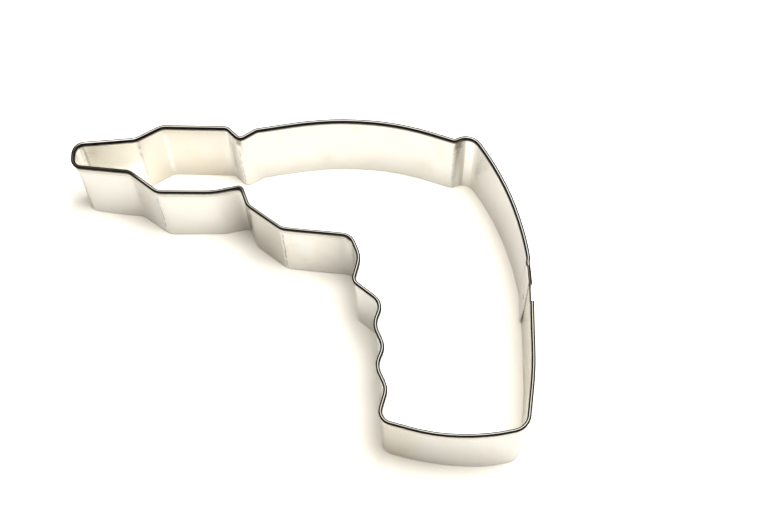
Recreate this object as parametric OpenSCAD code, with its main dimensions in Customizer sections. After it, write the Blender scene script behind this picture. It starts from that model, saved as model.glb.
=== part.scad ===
// Cookie cutter in the outline of a hand-held power drill.
// One strip of tin-plated sheet is bent on edge into a closed outline. Its bottom edge is left
// bare and cuts. Its top edge is folded outward and down into a rim that is safe to press on.
// The two ends lap on the back of the handle, where two spot welds hold them.
// Millimetres. X runs along the barrel from the nose to the handle, Y towards the top of the
// housing, and Z up from the cutting edge. The origin is under the middle of the cutter.

/* [Strip] */
// Height of the cutter from the cutting edge to the top of the rim
cutter_h = 25; // [18:0.5:35]
// Thickness of the sheet
sheet_t = 0.25; // [0.2:0.05:0.4]

/* [Rolled rim] */
// How far the folded flap hangs below the top of the rim
flap_depth = 3.7; // [2.5:0.1:6]
// Gap between the wall and the lower edge of the flap
flap_gap = 0.04; // [0.02:0.01:0.1]
// Room inside the fold beyond what the outer end of the strip needs
fold_room = 0.1; // [0:0.01:0.4]

/* [Seam] */
// Length over which the two ends of the strip overlap
lap_len = 4.9; // [4:0.1:8]
// Gap between the two layers at the overlap
lap_gap = 0.03; // [0.02:0.01:0.08]
// Length of the outer end that is left without a flap below the overlap
bare_len = 4.3; // [2:0.1:6]
// Length in which the inner end steps inward by one sheet
joggle_len = 1.5; // [1:0.1:3]
// Length in which the flap opens out to take the outer end
flare_out_len = 5; // [3:0.5:8]
// Distance along the back of the handle from the heel bend up to the end of the inner layer
seam_rise = 14.5; // [10:0.5:20]

/* [Spot welds] */
// Diameter of each weld spot
weld_d = 2.4; // [1.5:0.1:3]
// Depth of the dent that the welding tip leaves on each side
weld_dent = 0.05; // [0.02:0.01:0.08]
// Gap round each weld spot
weld_gap = 0.02; // [0.01:0.01:0.05]
// Height of the lower weld above the cutting edge
weld_low_h = 10.8; // [5:0.1:12]
// Height of the upper weld above the cutting edge
weld_high_h = 15.5; // [14:0.1:17]

/* [Nose] */
// Length of the nose from its tip to the flare
nose_len = 13.5; // [10:0.5:18]
// Width across the nose at its tip
nose_tip_w = 4.9; // [4.6:0.1:6]
// Width across the nose where the flare starts
nose_root_w = 7.4; // [6.5:0.1:9]
// Offset of the nose above the axis of the chuck
nose_offset = 0.9; // [0:0.1:1.5]
// How much further back the flare starts on the upper side
nose_skew = 1; // [0:0.1:2]

/* [Chuck] */
// Length of the flare between the nose and the chuck
flare_len = 6.35; // [5:0.05:8]
// Width across the chuck
chuck_w = 16; // [14:0.1:19]
// Length of the upper side of the chuck
chuck_top_len = 15.1; // [13:0.1:17]
// Taper of the upper side of the chuck towards the neck
chuck_draft = 0.3; // [0:0.1:1]
// Length of the level part of the lower side of the chuck
chuck_low_len = 12.75; // [10:0.05:14]
// Length of the lip at the end of the lower side
lip_len = 6.75; // [6:0.05:8]
// How far that lip turns up
lip_rise = 1.5; // [1:0.1:2]

/* [Neck] */
// Distance from the end of the upper chuck side to the bottom of the upper groove
groove_in_len = 3.15; // [2.8:0.05:3.6]
// Depth of the upper groove below the end of the chuck
groove_depth = 3.1; // [2.6:0.1:3.6]
// Distance from the bottom of the upper groove to the start of the housing
groove_out_len = 4.1; // [3.6:0.1:5]
// Distance from the tip of the lower lip to the lower corner of the neck
neck_step_len = 1.85; // [1.2:0.05:2.4]
// Drop from the tip of the lower lip to the lower corner of the neck
neck_step_drop = 4.9; // [4:0.1:6]

/* [Housing] */
// Height of the top of the housing above the chuck axis where it starts
shoulder_h = 7.2; // [6:0.1:7.6]
// Height of the crown line at its front end
crown_front_h = 9.9; // [9:0.05:12]
// Height of the crown line at its rear end
crown_rear_h = 9.15; // [8.6:0.05:10.5]
// Length of the rising front part of the top
crown_rise_len = 16.0; // [15:0.1:18]
// Length of the level part of the top
crown_len = 16.6; // [16.4:0.1:22]
// Length of the falling rear part of the top
crown_fall_len = 13.8; // [13:0.1:17]
// Height of the rear notch above the chuck axis
notch_h = 4.45; // [3.8:0.05:5]
// Distance from the rear notch to the hump behind it
hump_len = 3.7; // [3.4:0.1:4.4]
// Height of the hump above the notch
hump_rise = 1.8; // [1.4:0.1:2]
// Distance from the hump to the back of the handle
back_len = 12.7; // [12:0.1:15]
// Drop from the hump to the corner that rounds the back
back_drop = 19.4; // [19:0.05:21]
// Length of the slanted underside behind the neck
slant_len = 7.75; // [7:0.05:9]
// Drop along that slanted underside
slant_drop = 5.7; // [5:0.1:7]
// Length of the level underside up to the trigger
belly_len = 15.95; // [14:0.05:18]
// Drop along the level underside
belly_drop = 1.6; // [1:0.1:2.2]

/* [Trigger] */
// How far the hollow of the trigger is set in from its top
trigger_hollow = 2.35; // [1.8:0.05:3]
// Distance from the top of the trigger down to its hollow
trigger_upper_h = 5.75; // [5:0.05:7]
// Distance from the hollow down to the tip of the trigger
trigger_lower_h = 5.7; // [5:0.1:7]
// How far the tip of the trigger stands out from its hollow
trigger_tip_out = 1.45; // [1:0.05:2]
// Depth of the step from the tip of the trigger back to the grip
grip_step_in = 6.8; // [6:0.1:8]
// Drop of that step
grip_step_drop = 5.35; // [4.8:0.05:6]

/* [Grip] */
// Distance from one finger hollow to the next
finger_pitch = 9.7; // [9:0.1:11]
// Distance from a hollow down to the ridge below it
finger_fall = 4.4; // [3.8:0.1:5]
// Distance from the first hollow to the first ridge
first_fall = 5.2; // [4.8:0.1:6]
// Depth from the corner of the first hollow to that of the first ridge
first_depth = 2.1; // [1.6:0.1:2.6]
// Depth from the corners of the other hollows to those of the ridges
finger_depth = 2; // [1.4:0.1:2.4]
// How far the grip leans forward from one finger hollow to the next
finger_lean = 0.67; // [0:0.01:1]
// Number of finger ridges
finger_ridges = 2; // [1:1:3]
// Distance from the last hollow down to the front corner of the base
toe_drop = 6.8; // [5.5:0.1:8]
// How far that corner stands out from the last hollow
toe_out = 1.9; // [1.2:0.1:2.6]

/* [Base] */
// Distance from the front corner of the base to its lowest corner
base_front_len = 17.4; // [16:0.1:20]
// Drop over that distance
base_front_drop = 4.8; // [4:0.1:6]
// How far the rear corner of the base lies above the lowest corner
base_rear_rise = 3.2; // [2.6:0.1:4]
// How far the rear corner of the base is drawn in from the back of the handle
heel_draw = 1.55; // [0.8:0.05:2.4]
// Height of the heel bend above the rear corner of the base
heel_h = 13.7; // [12:0.1:17]

/* [Bend radii inside the strip] */
// Upper corner of the nose tip
nose_top_r = 2.1; // [1:0.1:2.2]
// Lower corner of the nose tip
nose_low_r = 1.7; // [1:0.1:2]
// Upper bend between the nose and the flare
flare_top_r = 4; // [2:0.5:5]
// Lower bend between the nose and the flare
flare_low_r = 3; // [2:0.5:5]
// Bends between the flare and the chuck
chuck_r = 3; // [1:0.1:4]
// Bend where the lower chuck side turns up
lip_in_r = 8; // [4:0.5:12]
// Tip of the lower lip
lip_tip_r = 1.4; // [1:0.1:1.6]
// End of the upper chuck side
collar_r = 1.2; // [1:0.1:1.6]
// Bottom of the upper groove
groove_r = 1.8; // [1.4:0.1:2]
// Lower corner of the neck
neck_r = 2; // [1.1:0.1:3]
// Bend from the groove to the top of the housing
shoulder_r = 1; // [0.8:0.1:1.4]
// Front arc of the top of the housing
crown_front_r = 70; // [40:1:72]
// Rear arc of the top of the housing
crown_rear_r = 60; // [40:1:62]
// Bottom of the rear notch
notch_r = 1.5; // [1.2:0.1:2]
// Top of the hump
hump_r = 3.3; // [2:0.1:3.5]
// Long arc down the back
back_r = 67; // [40:1:67]
// Bend behind the neck
slant_r = 3.4; // [1:0.1:5]
// Top of the trigger
trigger_top_r = 3.4; // [2:0.1:4]
// Hollow of the trigger
trigger_hollow_r = 5.5; // [3:0.1:6]
// Tip of the trigger
trigger_tip_r = 1.3; // [0.6:0.1:2]
// First finger hollow
first_hollow_r = 3.8; // [2.6:0.1:4]
// Other finger hollows and ridges
finger_r = 4.2; // [2.4:0.1:4.4]
// Front corner of the base
toe_r = 2.3; // [1.4:0.1:3]
// Long arc of the base
base_r = 46; // [30:1:47]
// Rear corner of the base
heel_corner_r = 3.4; // [1.5:0.1:3.6]
// Slight bend in the back of the handle
heel_r = 90; // [40:5:100]

/* [Smoothness] */
// Largest turn between two cross-sections, in degrees
bend_step = 15; // [12:1:20]
// Largest distance between two cross-sections on a bend
bend_chord = 3.2; // [2.8:0.1:5]
// Flats round the fold of the rim
fold_flats = 4; // [4:2:8]

/* [Hidden] */

// The fold is wide enough to take the outer end of the strip with a gap on each side.
fold_gap = sheet_t + 2 * lap_gap + fold_room;
fold_r = sheet_t + fold_gap / 2;
layer_step = sheet_t + lap_gap;
// The outer end stops just under the fold.
tab_h = cutter_h - fold_r - lap_gap;
joggle_clear = 4 * lap_gap;
tin = [0.8, 0.79, 0.76];

// Corners of the outline, on the inner face of the strip, clockwise from above.
// Each is [x, y, bend radius], from the tip of the nose and the axis of the chuck.
chuck_x = nose_len + flare_len;
collar = [chuck_x + chuck_top_len, chuck_w / 2 - chuck_draft];
groove = collar + [groove_in_len, -groove_depth];
shoulder = [groove[0] + groove_out_len, shoulder_h];
crown_front = [shoulder[0] + crown_rise_len, crown_front_h];
crown_rear = [crown_front[0] + crown_len, crown_rear_h];
notch = [crown_rear[0] + crown_fall_len, notch_h];
hump = notch + [hump_len, hump_rise];
back_corner = hump + [back_len, -back_drop];

lip_start = [chuck_x + chuck_low_len, -chuck_w / 2];
lip_tip = lip_start + [lip_len, lip_rise];
neck = lip_tip + [neck_step_len, -neck_step_drop];
slant = neck + [slant_len, -slant_drop];
trigger_top = slant + [belly_len, -belly_drop];
trigger_mid = trigger_top + [trigger_hollow, -trigger_upper_h];
trigger_tip = trigger_mid - [trigger_tip_out, trigger_lower_h];
first_hollow = trigger_tip + [grip_step_in, -grip_step_drop];

lean = finger_lean / finger_pitch;
first_ridge = first_hollow - [first_depth, first_fall];
finger_rise = finger_pitch - finger_fall;
function ridge(k) = first_ridge + k * [finger_lean, -finger_pitch];
function hollow(k) = ridge(k) + [lean * finger_rise + finger_depth, -finger_rise];
last_hollow = hollow(finger_ridges - 1);
toe = last_hollow - [toe_out, toe_drop];
base_low = toe + [base_front_len, -base_front_drop];
heel_corner = [back_corner[0] - heel_draw, base_low[1] + base_rear_rise];
heel = [back_corner[0], heel_corner[1] + heel_h];

function bend(p, r) = [p[0], p[1], r];
bends = [
    bend([0, nose_offset + nose_tip_w / 2], nose_top_r),
    bend([nose_len + nose_skew / 2, nose_offset + nose_root_w / 2], flare_top_r),
    bend([chuck_x, chuck_w / 2], chuck_r),
    bend(collar, collar_r),
    bend(groove, groove_r),
    bend(shoulder, shoulder_r),
    bend(crown_front, crown_front_r),
    bend(crown_rear, crown_rear_r),
    bend(notch, notch_r),
    bend(hump, hump_r),
    bend(back_corner, back_r),
    bend(heel, heel_r),
    bend(heel_corner, heel_corner_r),
    bend(base_low, base_r),
    bend(toe, toe_r),
    for (k = [finger_ridges - 1:-1:0]) each [bend(hollow(k), finger_r), bend(ridge(k), finger_r)],
    bend(first_hollow, first_hollow_r),
    bend(trigger_tip, trigger_tip_r),
    bend(trigger_mid, trigger_hollow_r),
    bend(trigger_top, trigger_top_r),
    bend(slant, slant_r),
    bend(neck, neck_r),
    bend(lip_tip, lip_tip_r),
    bend(lip_start, lip_in_r),
    bend([chuck_x, -chuck_w / 2], chuck_r),
    bend([nose_len - nose_skew / 2, nose_offset - nose_root_w / 2], flare_low_r),
    bend([0, nose_offset - nose_tip_w / 2], nose_low_r)
];
heel_index = 11;
count = len(bends);

function xy(p) = [p[0], p[1]];
function unit(v) = v / norm(v);
function left_of(v) = [-v[1], v[0]];
function turned(v, a) = [v[0] * cos(a) - v[1] * sin(a), v[0] * sin(a) + v[1] * cos(a)];
function sum(v, i = 0) = i < len(v) ? v[i] + sum(v, i + 1) : 0;

// The run into each corner, the angle it turns by, and the distance from it to the next one.
corners = [for (b = bends) xy(b)];
heading = [for (i = [0:count - 1]) unit(corners[i] - corners[(i + count - 1) % count])];
turn = [for (i = [0:count - 1])
    let (a = heading[i], b = heading[(i + 1) % count]) atan2(a[0] * b[1] - a[1] * b[0], a * b)];
span = [for (i = [0:count - 1]) norm(corners[(i + 1) % count] - corners[i])];

// A bend is tighter than its value where a side is too short for the bends at both its ends.
most_of_side = 0.99;
cut_back = [for (i = [0:count - 1]) bends[i][2] * tan(abs(turn[i]) / 2)];
function room_on(i) = most_of_side * span[i] / (cut_back[i] + cut_back[(i + 1) % count]);
function fit(i) = min(1, room_on(i), room_on((i + count - 1) % count));
radius = [for (i = [0:count - 1]) bends[i][2] * fit(i)];

// How much of each side a bend takes, its length, and what is left of the side after it.
trim = [for (i = [0:count - 1]) cut_back[i] * fit(i)];
arc_len = [for (i = [0:count - 1]) radius[i] * abs(turn[i]) * PI / 180];
side_len = [for (i = [0:count - 1]) span[i] - trim[i] - trim[(i + 1) % count]];
function start_of(i) = i == 0 ? 0 : start_of(i - 1) + arc_len[i - 1] + side_len[i - 1];
starts = [for (i = [0:count - 1]) start_of(i)];
outline_len = starts[count - 1] + arc_len[count - 1] + side_len[count - 1];

// Point and outward direction at a distance along the outline, as [x, y, outward x, outward y].
function on_arc(i, u) =
    let (side = sign(turn[i]), r = radius[i], a = heading[i],
         centre = corners[i] - a * trim[i] + left_of(a) * side * r,
         out = left_of(turned(a, turn[i] * u / arc_len[i])),
         p = centre - out * side * r)
    [p[0], p[1], out[0], out[1]];
function on_side(i, u) =
    let (a = heading[(i + 1) % count], out = left_of(a), p = corners[i] + a * (trim[i] + u))
    [p[0], p[1], out[0], out[1]];
function section_at(s, i) =
    s - starts[i] < arc_len[i] ? on_arc(i, s - starts[i]) : on_side(i, s - starts[i] - arc_len[i]);
function last_start(s) = max([for (i = [0:count - 1]) if (starts[i] <= s) i]);
function wrapped(s) = s - outline_len * floor(s / outline_len);
function station(s) = let (w = wrapped(s)) section_at(w, last_start(w));

// Distances along the strip, from the tip of its outer end to the end of its inner layer.
inner_end_first = starts[heel_index] - seam_rise;
tab_tip = inner_end_first - lap_len;
flap_start = inner_end_first + bare_len;
inner_end = inner_end_first + outline_len;
lap_start = tab_tip + outline_len - joggle_clear;
joggle_start = lap_start - joggle_len;
flare_start = joggle_start - flare_out_len;

function smooth(t) = let (c = max(0, min(1, t))) c * c * (3 - 2 * c);
function inset(s) = layer_step * smooth((s - joggle_start) / joggle_len);
function flap_gap_at(s) =
    flap_gap + (fold_gap - flap_gap) * smooth((s - flare_start) / flare_out_len);

function pieces_in(i) = max(ceil(abs(turn[i]) / bend_step), ceil(arc_len[i] / bend_chord));
bend_stops = [for (i = [0:count - 1], k = [0:pieces_in(i)]) starts[i] + arc_len[i] * k / pieces_in(i)];
joggle_stops = [for (k = [0:4]) joggle_start + joggle_len * k / 4];
flare_stops = [for (k = [0:3]) flare_start + flare_out_len * k / 4];
all_stops = concat(
    [tab_tip, flap_start, inner_end],
    joggle_stops,
    flare_stops,
    [for (lap = [0, 1], s = bend_stops) let (t = s + lap * outline_len)
        if (t > tab_tip && t < inner_end) t]);

function sorted(v) = len(v) < 2 ? v :
    let (pivot = v[floor(len(v) / 2)])
    concat(sorted([for (x = v) if (x < pivot) x]),
           [for (x = v) if (x == pivot) x],
           sorted([for (x = v) if (x > pivot) x]));
closest_stops = 0.05;
key_stops = [tab_tip, flap_start, inner_end];
function is_key(s) = len([for (k = key_stops) if (k == s) k]) > 0;
function near_key(s) = len([for (k = key_stops) if (abs(k - s) < closest_stops) k]) > 0;
kept_stops = [for (s = sorted(all_stops)) if (is_key(s) || !near_key(s)) s];
stops = [for (i = [0:len(kept_stops) - 1])
    if (i == 0 || is_key(kept_stops[i]) || kept_stops[i] - kept_stops[i - 1] > closest_stops) kept_stops[i]];
tab_stops = [for (s = stops) if (s < flap_start) s];
rim_stops = [for (s = stops) if (s >= flap_start) s];

// Cross-section of the strip, as [outward, up] from the inner face at the cutting edge:
// up the inner face, over the fold, down the flap, back up inside it and down the outer face.
fold_z = cutter_h - fold_r;
flap_low = cutter_h - flap_depth;
function fold(r, k) = let (a = 180 * k / fold_flats) [fold_r - r * cos(a), fold_z + r * sin(a)];
function rim_section(gap) = concat(
    [[0, 0], [0, tab_h]],
    [for (k = [0:fold_flats]) fold(fold_r, k)],
    [[2 * sheet_t + gap, flap_low], [sheet_t + gap, flap_low]],
    [for (k = [fold_flats:-1:0]) fold(fold_gap / 2, k)],
    [[sheet_t, tab_h], [sheet_t, 0]]);
tab_section = [[0, 0], [0, tab_h], [sheet_t, tab_h], [sheet_t, 0]];
rim_n = 2 * fold_flats + 8;
tab_n = len(tab_section);
// Where the tab's four corners lie in the section with the rim.
tab_in_rim = [0, 1, rim_n - 2, rim_n - 1];

function placed(s, section) =
    let (q = station(s), d = inset(s))
    [for (c = section) [q[0] + q[2] * (c[0] - d), q[1] + q[3] * (c[0] - d), c[1]]];

strip_points = concat(
    [for (s = tab_stops) each placed(s, tab_section)],
    [for (s = rim_stops) each placed(s, rim_section(flap_gap_at(s)))]);
tab_count = len(tab_stops);
rim_count = len(rim_stops);
function tab_at(i, k) = i * tab_n + k % tab_n;
function rim_at(i, k) = tab_count * tab_n + i * rim_n + k % rim_n;
function joint_at(i, k) = i < tab_count ? tab_at(i, k) : rim_at(0, tab_in_rim[k % tab_n]);
function two(a, b, c, d) = [[a, b, c], [a, c, d]];

// Faces between cross-sections, then the three end faces.
strip_faces = concat(
    [for (i = [0:tab_count - 1], k = [0:tab_n - 1])
        each two(joint_at(i, k), joint_at(i, k + 1), joint_at(i + 1, k + 1), joint_at(i + 1, k))],
    [for (i = [0:rim_count - 2], k = [0:rim_n - 1])
        each two(rim_at(i, k), rim_at(i, k + 1), rim_at(i + 1, k + 1), rim_at(i + 1, k))],
    two(tab_at(0, 3), tab_at(0, 2), tab_at(0, 1), tab_at(0, 0)),
    [for (k = [1:rim_n / 2 - 2])
        each two(rim_at(0, rim_n - 1 - k), rim_at(0, rim_n - 2 - k), rim_at(0, k + 1), rim_at(0, k))],
    [for (k = [0:rim_n / 2 - 2])
        each two(rim_at(rim_count - 1, k), rim_at(rim_count - 1, k + 1),
                 rim_at(rim_count - 1, rim_n - 2 - k), rim_at(rim_count - 1, rim_n - 1 - k))]);

// Middle of the whole cutter, seen from above.
all_x = [for (p = strip_points) p[0]];
all_y = [for (p = strip_points) p[1]];
middle = [(min(all_x) + max(all_x)) / 2, (min(all_y) + max(all_y)) / 2];

// Places what follows with its axis square to the strip, halfway along the overlap.
weld_station = station(inner_end_first - lap_len / 2);
module at_weld(height) {
    translate([weld_station[0], weld_station[1], height])
        rotate([0, 0, atan2(weld_station[3], weld_station[2])])
            rotate([0, 90, 0])
                children();
}

// A weld spot reaches through both layers, from the inner face to the outer one.
module weld_spot(height) {
    spot_t = layer_step + sheet_t - 2 * weld_dent;
    at_weld(height)
        translate([0, 0, weld_dent - layer_step])
            cylinder(h = spot_t, d = weld_d, $fn = 48);
}

module weld_hole(height) {
    reach = 3 * layer_step;
    at_weld(height)
        translate([0, 0, -reach])
            cylinder(h = reach + layer_step, d = weld_d + 2 * weld_gap, $fn = 48);
}

module band() {
    color(tin)
        translate([-middle[0], -middle[1], 0])
            difference() {
                polyhedron(points = strip_points, faces = strip_faces, convexity = 10);
                weld_hole(weld_high_h);
                weld_hole(weld_low_h);
            }
}

module upper_spot_weld() {
    color(tin * 0.8)
        translate([-middle[0], -middle[1], 0])
            weld_spot(weld_high_h);
}

module lower_spot_weld() {
    color(tin * 0.8)
        translate([-middle[0], -middle[1], 0])
            weld_spot(weld_low_h);
}

band();
upper_spot_weld();
lower_spot_weld();
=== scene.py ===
import math

import bmesh
import bpy
from bpy.props import FloatProperty, FloatVectorProperty, IntProperty, PointerProperty
from bpy.types import Operator, Panel, PropertyGroup
from mathutils import Matrix, Vector, noise


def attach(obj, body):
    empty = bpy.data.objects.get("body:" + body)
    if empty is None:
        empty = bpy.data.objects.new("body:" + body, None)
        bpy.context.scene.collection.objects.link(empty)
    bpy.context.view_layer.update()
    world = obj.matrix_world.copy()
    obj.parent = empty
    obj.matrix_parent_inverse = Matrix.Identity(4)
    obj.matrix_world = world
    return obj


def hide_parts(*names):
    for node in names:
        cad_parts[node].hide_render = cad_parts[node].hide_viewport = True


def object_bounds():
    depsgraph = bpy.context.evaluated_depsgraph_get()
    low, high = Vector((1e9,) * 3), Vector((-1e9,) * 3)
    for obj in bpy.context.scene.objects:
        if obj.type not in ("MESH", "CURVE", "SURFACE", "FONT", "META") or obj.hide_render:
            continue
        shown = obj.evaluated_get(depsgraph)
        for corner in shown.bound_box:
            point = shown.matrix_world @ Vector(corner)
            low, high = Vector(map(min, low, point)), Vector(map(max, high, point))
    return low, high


bl_info = {
    "name": "Drill Outline Cutter",
    "version": (1, 0, 0),
    "blender": (4, 5, 0),
    "location": "3D View > Sidebar > Cutter",
    "description": "Bends a tinplate cookie cutter round the outline that the frame gives, and lights it",
    "category": "Object",
}

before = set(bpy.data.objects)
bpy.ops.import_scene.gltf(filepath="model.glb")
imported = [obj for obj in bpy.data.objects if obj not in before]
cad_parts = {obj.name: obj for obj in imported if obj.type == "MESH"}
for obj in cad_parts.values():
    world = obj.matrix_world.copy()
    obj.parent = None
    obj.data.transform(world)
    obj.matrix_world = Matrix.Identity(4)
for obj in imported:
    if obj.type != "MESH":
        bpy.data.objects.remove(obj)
CAD_LOW, CAD_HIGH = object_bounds()
MM = 0.001
UP = Vector((0, 0, 1))
ORIGIN = Vector((0, 0, 0))
BLACK = (0, 0, 0)
WHITE = (1, 1, 1)
MERGE_DISTANCE = 1e-6
BODY = "root"
SHEET_UV = "sheet"

# Turns of a line: at the square ends of the strip, and where a bend is rounded once more.
SQUARE_TURN = math.radians(45)
BENT_TURN = math.radians(3)
ROUNDED_PERCENT = 25
# Angle between two faces from which shading is sharp.
SHARP_ANGLE = math.radians(35)
# Half of a weld button's section: share of its radius, and height in depths of its dish.
BUTTON_HALF = ((0, -1), (0.6, -1), (0.85, 1), (1, 0))
# How far the paper lies below the cutting edge.
PAPER_DROP = 0.01 * MM

# Creases in the wall: place, lowest and highest point, half width and strength.
CREASES = (
    ((-0.0382, 0.0331), 0.001, 0.0225, 0.00035, 0.4),
    ((-0.0336, 0.0203), 0.002, 0.0205, 0.00018, 0.85),
    ((-0.0037, 0.01105), 0.0, 0.0215, 0.00016, 0.9),
    ((-0.0522, 0.0266), 0.0, 0.013, 0.0002, 0.8),
    ((-0.0146, 0.034), 0.0205, 0.0275, 0.0006, 0.8),
    ((-0.0146, 0.034), 0.0, 0.0195, 0.00022, 0.45),
    ((0.0359, 0.0327), 0.003, 0.024, 0.00035, 0.35),
    ((0.0372, 0.0331), 0.0195, 0.0265, 0.0009, 0.9),
)
# Painted highlights: bright streaks along bends. Place, lowest and highest point, half width and strength.
BEND_HIGHLIGHTS = (
    ((-0.0325, 0.0364), 0.001, 0.0225, 0.0005, 0.45),
    ((-0.0517, 0.0316), 0.008, 0.0235, 0.0003, 0.9),
    ((-0.0163, 0.0362), 0.001, 0.019, 0.0003, 0.6),
)
# Painted light: patches of wall made brighter in place of light and highlights. Its place, how far that
# reaches along the strip, and strength.
HIGHLIGHT_PATCHES = (
    ((-0.0444, 0.0323), 0.0066, 1.0),
    ((0.0396, 0.0333), 0.001, 0.5),
)
# Painted shade on walls that mirror shaded paper: from one place to another, and strength.
WALL_SHADE = (
    ((0.0359, 0.0327), (0.0367, 0.0329), 0.6),
    ((0.0376, 0.0332), (0.0386, 0.0335), 0.65),
    ((-0.013, 0.0208), (-0.0043, 0.0116), 0.8),
)
# Stains and painted shade, warmer and darker stretches of wall: from one place to another, and strength.
STAIN_AND_SHADE = (
    ((-0.0385, 0.0332), (-0.0185, 0.0358), 0.7),
    ((0.0525, 0.0), (0.0522, -0.03), 0.8),
    ((0.019, -0.0305), (0.026, -0.0375), 0.85),
)
# Where the rim is painted dark all over, painted shade in place of its highlight: from one place to another,
# and strength.
RIM_SHADE_STRETCHES = (
    ((-0.0515, 0.0306), (-0.0378, 0.0236), 1.0),
    ((-0.0148, 0.0226), (-0.0125, 0.0196), 0.6),
)
# Where a tight bend has bunched up the flap.
BUNCHES = ((-0.0139, 0.0206), (0.0118, 0.0086))
# Where the foot of a wall leans: its place, how far that reaches, and how far it leans.
LEANS = (
    ((-0.0425, 0.0254), 0.015, (-0.0001, -0.0005)),
    ((0.046, -0.0374), 0.012, (0.0001, -0.0005)),
)
# How softly the stretches of painted wall shade, of stains and painted shade, and of painted rim shade end
# along the strip.
WALL_SHADE_EDGE = 0.25 * MM
STAIN_AND_SHADE_EDGE = 4 * MM
RIM_SHADE_EDGE = 1.5 * MM
# Over how much of their height the creases and streaks fade at both ends.
MARK_FADE = 2 * MM
# How far they waver from side to side, and where they fade on each side, in their half widths.
MARK_WAVER = 0.6 * MM
MARK_SIDES = (0.4, 1.4)
# From what share of its reach a patch of painted light fades.
HIGHLIGHT_PATCH_FADE = 0.9
# How weakly and how strongly each stretch and the painted shade on the flap show, as an uneven pattern goes.
STAIN_AND_SHADE_SHARE = (0.5, 1.1)
WALL_SHADE_SHARE = (0.85, 1.15)
RIM_SHADE_SHARE = (0.55, 1.05)
FLAP_SHARE = (0.6, 1.0)

# Fades on the rim, from where to where. Millimetres past the foot of the fold:
INNER_BAND_START = (-1.0, 0.0)
TAB_BAND_START = (-2.2, -1.4)
RIM_START = (-0.2, 0.0)
# Radii past the top of the rim, which are inner ones before it and outer ones after it:
INNER_BAND_END = (-0.45, -0.25)
OUTER_BAND_START = (-0.12, 0.06)
POCKET_SHADE_START = (-0.5, -0.2)
POCKET_SHADE_END = (1.0, 1.3)
# Millimetres past the end of the fold:
RIM_END = (0.0, 0.2)
FLAP_START = (0.0, 0.3)
OUTER_BAND_END = (0.45, 1.1)
# Millimetres past the edge of the flap, and past the cutting edge:
FLAP_END = (-0.9, -0.4)
FLAP_EDGE = (-0.12, -0.02)
CUTTING_EDGE = (0.08, 0.3)
# Shares of their lengths, counted from the strip's ends: the tab starts to fade, the painted shade at the
# crushed end of the rim is full.
TAB_FADE = 0.97
POCKET_SHADE_FADE = 0.93

# Patterns on the metals and the paper: how many features a metre holds along each axis.
CLOUDS = (140, 140, 90)
FILM = (110, 110, 60)
MOTTLE = (900, 900, 900)
ROLLING = (40, 4200)
WAVER = (300, 260)
DASHES = (90, 420)
GRAIN = (2500, 2500, 2500)
SCORCH = (700, 700, 700)
FIBRE = (260, 260, 260)
# Between what values of its pattern each fades in.
CLOUD_FADE = (0.5, 0.78)
FILM_FADE = (0.3, 0.7)
DASH_FADE = (0.3, 0.52)
SCORCH_FADE = (0.4, 0.7)


def size(name, value, description):
    """A size in metres that the panel shows as a length."""
    return FloatProperty(name=name, description=description, default=value, unit="LENGTH", precision=5)


def share(name, value, description):
    return FloatProperty(name=name, description=description, default=value, min=0, max=1)


def tint(name, value, description):
    return FloatVectorProperty(
        name=name, description=description, default=value, subtype="COLOR", size=3, min=0, max=1
    )


def angle(name, degrees, description):
    return FloatProperty(name=name, description=description, default=math.radians(degrees), subtype="ANGLE")


def spot(name, value, description):
    """A place or a direction, as three lengths."""
    return FloatVectorProperty(name=name, description=description, default=value, subtype="XYZ", size=3)


def glow(name, value, description):
    return FloatProperty(name=name, description=description, default=value, min=0)


def power(name, value, description):
    return FloatProperty(name=name, description=description, default=value, unit="POWER")


class CutterStripSettings(PropertyGroup):
    """Sizes of the bent strip that the outline doesn't give"""

    height: size("Height", CAD_HIGH.z, "From the cutting edge to the top of the rim")
    inner_radius: size("Inner rim radius", 0.545 * MM, "Radius of the rim from the wall to its top")
    outer_radius: size("Outer rim radius", 0.365 * MM, "Radius of the rim from its top to the flap")
    flap_depth: size("Flap depth", 3.7 * MM, "How far the flap hangs below the top of the rim")
    flap_gap: size("Flap gap", 0.04 * MM, "Gap between the wall and the lower part of the flap")
    pinch_share: share("Pinch", 0.5, "How far down the flap the fold is pinched in to the wall")
    lap: size("Lap", 4.9 * MM, "Length over which the two ends of the strip overlap")
    lap_gap: size("Lap gap", 0.03 * MM, "Gap between the two layers at the lap")
    bare_end: size("Bare end", 9.2 * MM, "Length of the outer end that is left without a rim")
    joggle: size("Joggle", 1.6 * MM, "Length in which the inner end steps inward")
    flap_opening: size("Flap opening", 5 * MM, "Length in which the flap opens to take the outer end")
    # Painted shade: the mesh is not crushed here; over this length the end of the rim is painted dark.
    pocket_shade: size("Pocket", 4.4 * MM, "Length over which the end of the rim is crushed")
    wave: size("Waviness", 0.06 * MM, "Height of the slow waves in the sheet")
    wave_pitch: size("Wave pitch", 9 * MM, "Distance from one wave to the next")
    lift: size("Lift", 0.27 * MM, "How far the lower corner of the inner end stands off the lap")
    lift_reach: size("Lift reach", 5 * MM, "Length over which that corner stands off")
    lift_height: size("Lift height", 9 * MM, "Height up to which it stands off")
    bunch: size("Bunch", 0.22 * MM, "How far the flap stands out where a bend bunches it up")
    bunch_reach: size("Bunch reach", 1.3 * MM, "Distance at which a bunch runs out")
    column_step: size("Column step", 0.9 * MM, "Largest distance between two columns of faces")
    seam_step: size("Column step at the lap", 0.4 * MM, "The same within reach of the lap")
    row_step: size("Row step", 1.2 * MM, "Distance between two rows of faces on the wall")
    weld_row_step: size("Row step at the welds", 0.4 * MM, "The same from one weld to the other")
    fold_steps: IntProperty(name="Fold steps", description="Rows round the fold", default=12, min=4)
    flap_steps: IntProperty(name="Flap steps", description="Rows down the flap", default=9, min=3)


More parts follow.
